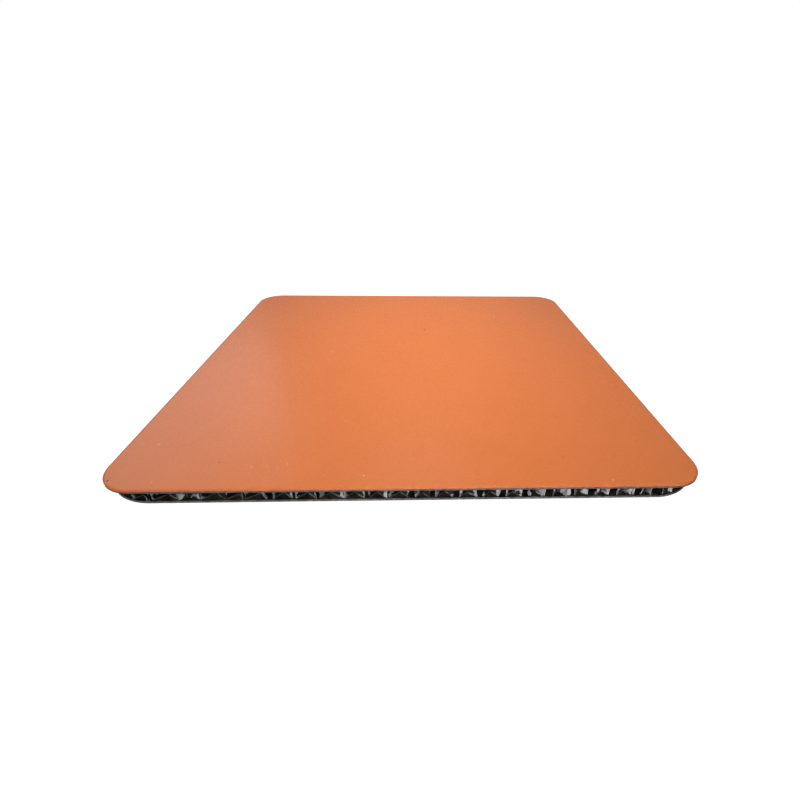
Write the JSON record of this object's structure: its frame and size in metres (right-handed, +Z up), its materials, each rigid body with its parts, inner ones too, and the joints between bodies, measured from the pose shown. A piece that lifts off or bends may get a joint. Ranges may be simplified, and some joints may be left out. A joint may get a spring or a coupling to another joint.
{
  "type": "aluminium honeycomb panel",
  "caption": "Flat square sandwich panel with rounded corners: a painted face sheet and a bare back sheet glued to an open-edged foil honeycomb core.",
  "frame": {"origin": "centre of the underside, the plane that the panel rests on", "axes": "+Z up through the thickness, out of the painted face; +X to the right; +Y to the back, along the foil ribbons"},
  "size_m": [0.2, 0.2, 0.005],
  "materials": {
    "painted_face": "satin orange coil coating on the upper face, bare metal on the cut edge",
    "mill_aluminium": "mill finish, with a sawn edge",
    "core_foil": "bright rolled foil",
    "adhesive": "cured adhesive film"
  },
  "bodies": {
    "root": {"face_sheet": "painted_face", "back_sheet": "mill_aluminium", "face_film": "adhesive", "back_film": "adhesive", "side_foil": "core_foil", "foil_ribbon_01": "core_foil", "foil_ribbon_02": "core_foil", "foil_ribbon_03": "core_foil", "foil_ribbon_04": "core_foil", "foil_ribbon_05": "core_foil", "foil_ribbon_06": "core_foil", "foil_ribbon_07": "core_foil", "foil_ribbon_08": "core_foil", "foil_ribbon_09": "core_foil", "foil_ribbon_10": "core_foil", "foil_ribbon_11": "core_foil", "foil_ribbon_12": "core_foil", "foil_ribbon_13": "core_foil", "foil_ribbon_14": "core_foil", "foil_ribbon_15": "core_foil", "foil_ribbon_16": "core_foil", "foil_ribbon_17": "core_foil", "foil_ribbon_18": "core_foil", "foil_ribbon_19": "core_foil", "foil_ribbon_20": "core_foil", "foil_ribbon_21": "core_foil", "foil_ribbon_22": "core_foil", "foil_ribbon_23": "core_foil", "foil_ribbon_24": "core_foil", "foil_ribbon_25": "core_foil", "foil_ribbon_26": "core_foil", "foil_ribbon_27": "core_foil", "foil_ribbon_28": "core_foil", "foil_ribbon_29": "core_foil", "foil_ribbon_30": "core_foil", "foil_ribbon_31": "core_foil", "foil_ribbon_32": "core_foil", "foil_ribbon_33": "core_foil", "foil_ribbon_34": "core_foil", "foil_ribbon_35": "core_foil", "foil_ribbon_36": "core_foil", "foil_ribbon_37": "core_foil", "foil_ribbon_38": "core_foil", "foil_ribbon_39": "core_foil", "foil_ribbon_40": "core_foil", "foil_ribbon_41": "core_foil", "foil_ribbon_42": "core_foil", "foil_ribbon_43": "core_foil", "foil_ribbon_44": "core_foil", "foil_ribbon_45": "core_foil", "foil_ribbon_46": "core_foil", "foil_ribbon_47": "core_foil", "foil_ribbon_48": "core_foil", "foil_ribbon_49": "core_foil", "foil_ribbon_50": "core_foil", "foil_ribbon_51": "core_foil", "foil_ribbon_52": "core_foil", "foil_ribbon_53": "core_foil"}
  },
  "joints": []
}
